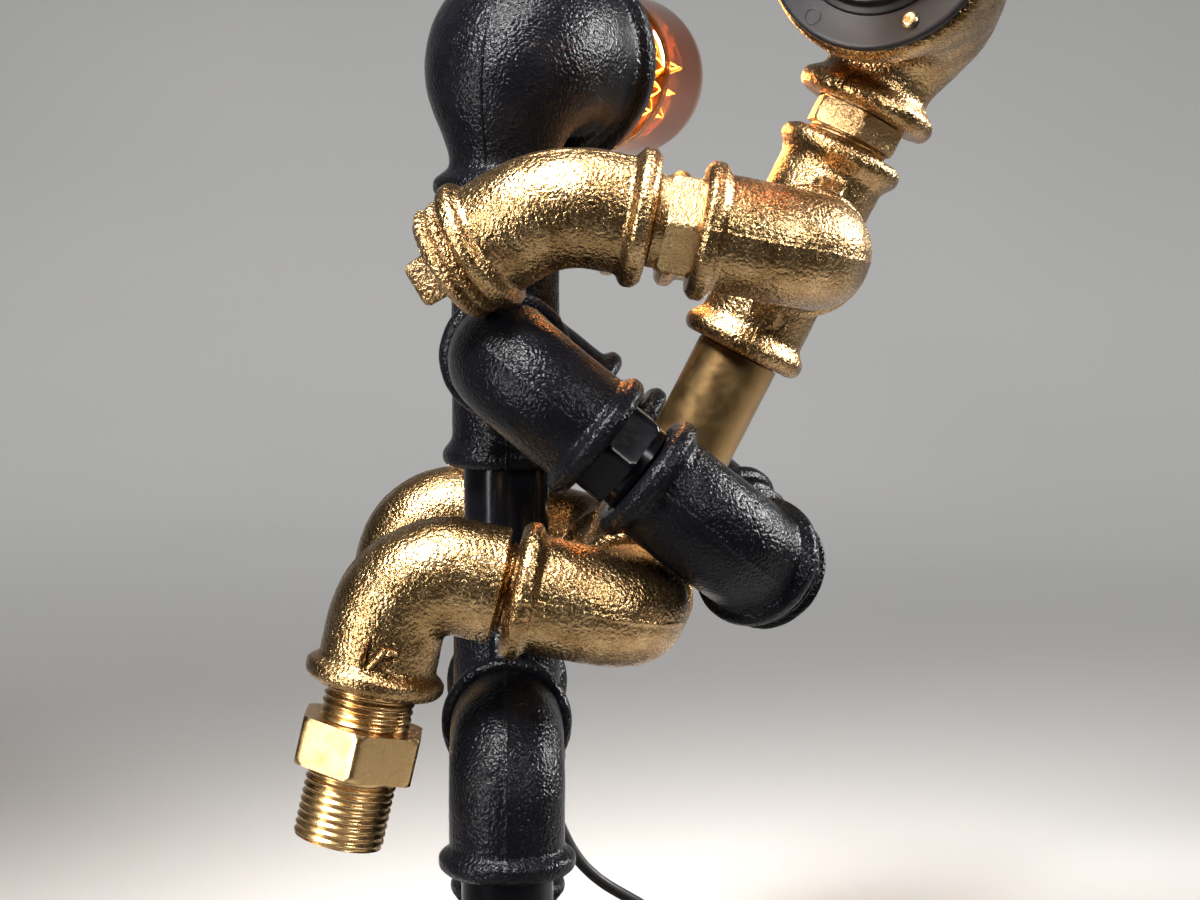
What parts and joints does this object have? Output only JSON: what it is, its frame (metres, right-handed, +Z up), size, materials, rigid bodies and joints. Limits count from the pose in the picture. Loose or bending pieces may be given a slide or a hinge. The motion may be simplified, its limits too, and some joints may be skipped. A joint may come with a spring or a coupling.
{
  "type": "table lamp",
  "caption": "Table lamp built of threaded pipe fittings: a black and a gold figure embracing, each with an elbow for a head that holds a filament bulb.",
  "frame": {"origin": "on the table, under the middle of the lamp's bounding rectangle", "axes": "+Z up, +X the way the standing black figure faces, +Y to its left"},
  "size_m": [0.2516, 0.2554, 0.3312],
  "materials": {
    "black_enamel": "glossy black enamel over malleable iron, slightly bumpy from the casting",
    "gold_paint": "champagne gold metallic paint over malleable iron, satin, rough from the casting",
    "black_moulding": "moulded black thermoset, semi-gloss",
    "brass": "plain brass",
    "zinc_screw": "yellow zinc plated",
    "amber_glass": "clear amber-tinted glass",
    "filament": "carbon filament cage on a glass stem, glowing when lit",
    "rubber": "matt black rubber",
    "black_cord": "black PVC sheath"
  },
  "bodies": {
    "frame": {"cord_coil": "black_cord", "cord_gland": "rubber", "dark_arm_nipples": "black_enamel", "dark_body_lead": "black_cord", "dark_foot_tee_front": "black_enamel", "dark_foot_tee_rear": "black_enamel", "dark_forearm_front": "black_enamel", "dark_forearm_rear": "black_enamel", "dark_hip_tee": "black_enamel", "dark_leg_nipples": "black_enamel", "dark_neck_nipple": "black_enamel", "dark_plugs": "black_enamel", "dark_shoulder_cross": "black_enamel", "dark_thigh_front": "black_enamel", "dark_thigh_rear": "black_enamel", "dark_toe_caps": "black_enamel", "dark_toe_nipples": "black_enamel", "dark_torso_nipple": "black_enamel", "dark_upper_arm_front": "black_enamel", "dark_upper_arm_rear": "black_enamel", "foot_pads": "rubber", "light_arm_nipples": "gold_paint", "light_body_lead": "black_cord", "light_forearm_front": "gold_paint", "light_forearm_rear": "gold_paint", "light_hand_plugs": "gold_paint", "light_hip_tee": "gold_paint", "light_neck_nipple": "gold_paint", "light_shoulder_cross": "gold_paint", "light_thigh_front": "gold_paint", "light_thigh_rear": "gold_paint", "light_torso_nipple": "gold_paint", "light_upper_arm_front": "gold_paint", "light_upper_arm_rear": "gold_paint", "mains_cord": "black_cord", "mains_plug_body": "black_moulding", "mains_plug_pins": "brass", "switch_body": "black_moulding", "switch_contacts": "brass"},
    "dark_head": {"dark_head_elbow": "black_enamel", "dark_head_lead": "black_cord", "dark_holder_body": "black_moulding", "dark_holder_contacts": "brass", "dark_holder_screws": "zinc_screw"},
    "light_head": {"light_head_elbow": "gold_paint", "light_head_lead": "black_cord", "light_holder_body": "black_moulding", "light_holder_contacts": "brass", "light_holder_screws": "zinc_screw"},
    "dark_bulb": {"dark_bulb_cap": "brass", "dark_bulb_filament": "filament", "dark_bulb_glass": "amber_glass"},
    "light_bulb": {"light_bulb_cap": "brass", "light_bulb_filament": "filament", "light_bulb_glass": "amber_glass"},
    "light_front_shin": {"light_foot_nipple_front": "gold_paint", "light_shin_front": "gold_paint"},
    "light_rear_shin": {"light_foot_nipple_rear": "gold_paint", "light_shin_rear": "gold_paint"},
    "rocker": {"switch_rocker": "black_moulding"}
  },
  "joints": [
    {"name": "dark_head_swivel", "type": "hinge", "parent": "frame", "child": "dark_head", "pos_m": [-0.03693, -0.0037, 0.2693], "axis": [0, 0, 1], "range_deg": [-25, 60]},
    {"name": "light_head_swivel", "type": "hinge", "parent": "frame", "child": "light_head", "pos_m": [0.06794, -0.0037, 0.28631], "axis": [0.454, 0, 0.891], "range_deg": [-35, 35]},
    {"name": "dark_bulb_turn", "type": "hinge", "parent": "dark_head", "child": "dark_bulb", "pos_m": [-0.02462, 0.03013, 0.2693], "axis": [0.342, 0.9397, 0], "range_deg": [0, 360]},
    {"name": "light_bulb_turn", "type": "hinge", "parent": "light_head", "child": "light_bulb", "pos_m": [0.05191, -0.03487, 0.29448], "axis": [-0.4455, -0.866, 0.227], "range_deg": [0, 360]},
    {"name": "light_front_shin_turn", "type": "hinge", "parent": "frame", "child": "light_front_shin", "pos_m": [-0.00755, -0.0612, 0.13814], "axis": [-0.9744, 0, 0.225], "range_deg": [-20, 10]},
    {"name": "light_rear_shin_turn", "type": "hinge", "parent": "frame", "child": "light_rear_shin", "pos_m": [-0.00755, 0.0538, 0.13814], "axis": [-0.9744, 0, 0.225], "range_deg": [-10, 20]},
    {"name": "switch_rock", "type": "hinge", "parent": "frame", "child": "rocker", "pos_m": [0.03407, 0.1183, 0.0115], "axis": [0, 1, 0], "range_deg": [-8, 8]}
  ]
}
